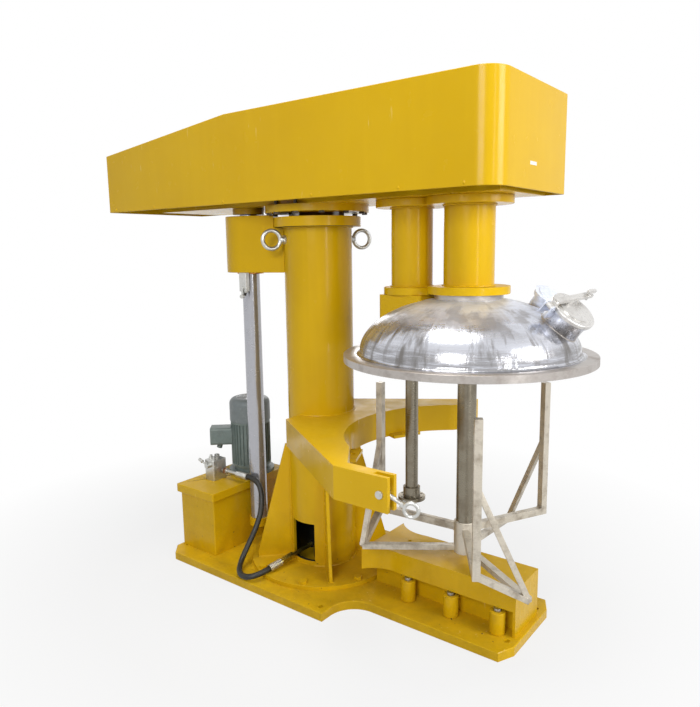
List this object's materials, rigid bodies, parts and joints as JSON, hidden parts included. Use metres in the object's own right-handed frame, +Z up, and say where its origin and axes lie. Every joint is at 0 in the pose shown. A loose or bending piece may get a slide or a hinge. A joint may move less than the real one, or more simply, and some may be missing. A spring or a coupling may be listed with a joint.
{
  "type": "dual shaft disperser",
  "caption": "Floor-standing dual shaft mixer: a hydraulic lift column carries a belt-driven beam with a stirring frame, a high-speed shaft and a domed vessel lid.",
  "frame": {"origin": "where the lift column's axis meets the floor, under the base plate", "axes": "+Z up; +X along the beam from the column to the mixing shafts; +Y to the far side, away from the valve and the swing bolt"},
  "size_m": [2.531, 1.275, 2.207],
  "materials": {
    "yellow_enamel": "glossy golden yellow enamel",
    "polished_lid": "polished stainless steel",
    "brushed_stainless": "ground stainless steel",
    "hard_chrome": "hard chrome plate",
    "satin_steel": "satin stainless bar",
    "motor_grey": "grey-green satin paint",
    "dark_bolt": "black oxide",
    "zinc": "zinc plate",
    "bronze": "cast bronze",
    "brass_pipe": "yellow passivated steel fitting",
    "grey_primer": "pale grey primer",
    "black_rubber": "black hose rubber",
    "seal_rubber": "moulded seal rubber",
    "cast_pulley": "turned cast iron",
    "machine_steel": "turned steel"
  },
  "bodies": {
    "frame": {"base_plate": "yellow_enamel", "column": "yellow_enamel", "column_gussets": "yellow_enamel", "foot_bolts": "dark_bolt", "column_bushes": "bronze", "cylinder_barrel": "yellow_enamel", "clamp_yoke": "yellow_enamel", "clevis_pin": "zinc", "leg_box": "yellow_enamel", "roller_pins": "machine_steel", "rod_bracket": "yellow_enamel", "rod_bush": "bronze", "lifting_eyes": "zinc", "limit_switch": "zinc", "oil_tank": "yellow_enamel", "tank_lid": "yellow_enamel", "gear_pump": "machine_steel", "pump_motor": "motor_grey", "motor_fan_cover": "motor_grey", "terminal_box": "motor_grey", "valve_block": "zinc", "hose_outlet": "zinc", "hydraulic_hose": "black_rubber", "inlet_pipe": "brass_pipe"},
    "lift": {"lift_tube": "machine_steel", "lift_ram": "hard_chrome", "beam": "yellow_enamel", "beam_bolts": "dark_bolt", "guard_crossbars": "grey_primer", "belt_guard": "yellow_enamel", "guide_rod": "hard_chrome", "rod_collar": "yellow_enamel", "main_housing": "yellow_enamel", "fast_housing": "yellow_enamel", "shaft_bearings": "machine_steel", "vessel_lid": "polished_lid", "lid_pads": "yellow_enamel", "shaft_seals": "seal_rubber", "port_necks": "polished_lid", "sight_cap": "polished_lid", "drive_motors": "motor_grey", "drive_belts": "black_rubber"},
    "mixer": {"main_shaft": "brushed_stainless", "main_pulley": "cast_pulley", "paddle_frame": "satin_steel"},
    "fast_spindle": {"fast_shaft": "brushed_stainless", "fast_pulley": "cast_pulley", "fast_hub": "brushed_stainless"},
    "slow_motor_rotor": {"slow_rotor": "cast_pulley"},
    "fast_motor_rotor": {"fast_rotor": "cast_pulley"},
    "port_cover": {"charge_cover": "polished_lid"},
    "swing_eye": {"swing_bolt": "zinc"},
    "switch_arm": {"switch_lever": "zinc"},
    "valve_handle": {"valve_lever": "zinc"},
    "roller_1": {"guide_roller_1": "yellow_enamel"},
    "roller_2": {"guide_roller_2": "yellow_enamel"},
    "roller_3": {"guide_roller_3": "yellow_enamel"},
    "roller_4": {"guide_roller_4": "yellow_enamel"},
    "roller_5": {"guide_roller_5": "yellow_enamel"},
    "roller_6": {"guide_roller_6": "yellow_enamel"}
  },
  "joints": [
    {"name": "lift_slide", "type": "slide", "parent": "frame", "child": "lift", "axis": [0, 0, 1], "range_m": [0, 1]},
    {"name": "main_spin", "type": "hinge", "parent": "lift", "child": "mixer", "pos_m": [0.803, 0, 1.6], "axis": [0, 0, 1], "continuous": true},
    {"name": "fast_spin", "type": "hinge", "parent": "lift", "child": "fast_spindle", "pos_m": [0.53, 0, 1.6], "axis": [0, 0, 1], "continuous": true},
    {"name": "slow_motor_spin", "type": "hinge", "parent": "lift", "child": "slow_motor_rotor", "pos_m": [-0.64, -0.1, 2], "axis": [0, 0, 1], "continuous": true},
    {"name": "fast_motor_spin", "type": "hinge", "parent": "lift", "child": "fast_motor_rotor", "pos_m": [-0.64, 0.1, 2], "axis": [0, 0, 1], "continuous": true},
    {"name": "cover_hinge", "type": "hinge", "parent": "lift", "child": "port_cover", "pos_m": [1.1799, -0.0914, 1.3831], "axis": [0.7211, -0.1798, -0.6691], "range_deg": [0, 100]},
    {"name": "swing_bolt_pivot", "type": "hinge", "parent": "frame", "child": "swing_eye", "pos_m": [0.808, -0.621, 0.752], "axis": [0, 1, 0], "range_deg": [-80, 70]},
    {"name": "switch_arm_pivot", "type": "hinge", "parent": "frame", "child": "switch_arm", "pos_m": [-0.3347, -0.1859, 1.414], "axis": [0.2351, -0.972, 0], "range_deg": [-30, 30], "stiffness_Nm_per_rad": 0.2},
    {"name": "valve_handle_pivot", "type": "hinge", "parent": "frame", "child": "valve_handle", "pos_m": [-0.606, -0.224, 0.464], "axis": [0, 1, 0], "range_deg": [-25, 25]},
    {"name": "roller_1_spin", "type": "hinge", "parent": "frame", "child": "roller_1", "pos_m": [0.585, -0.115, 0.09], "axis": [0, 0, 1], "continuous": true},
    {"name": "roller_2_spin", "type": "hinge", "parent": "frame", "child": "roller_2", "pos_m": [0.8, -0.115, 0.09], "axis": [0, 0, 1], "continuous": true},
    {"name": "roller_3_spin", "type": "hinge", "parent": "frame", "child": "roller_3", "pos_m": [1.015, -0.115, 0.09], "axis": [0, 0, 1], "continuous": true},
    {"name": "roller_4_spin", "type": "hinge", "parent": "frame", "child": "roller_4", "pos_m": [0.585, 0.115, 0.09], "axis": [0, 0, 1], "continuous": true},
    {"name": "roller_5_spin", "type": "hinge", "parent": "frame", "child": "roller_5", "pos_m": [0.8, 0.115, 0.09], "axis": [0, 0, 1], "continuous": true},
    {"name": "roller_6_spin", "type": "hinge", "parent": "frame", "child": "roller_6", "pos_m": [1.015, 0.115, 0.09], "axis": [0, 0, 1], "continuous": true}
  ],
  "couplings": [
    {"joint": "slow_motor_spin", "follows": "main_spin", "ratio": 2.5},
    {"joint": "fast_motor_spin", "follows": "fast_spin", "ratio": 0.6667}
  ]
}
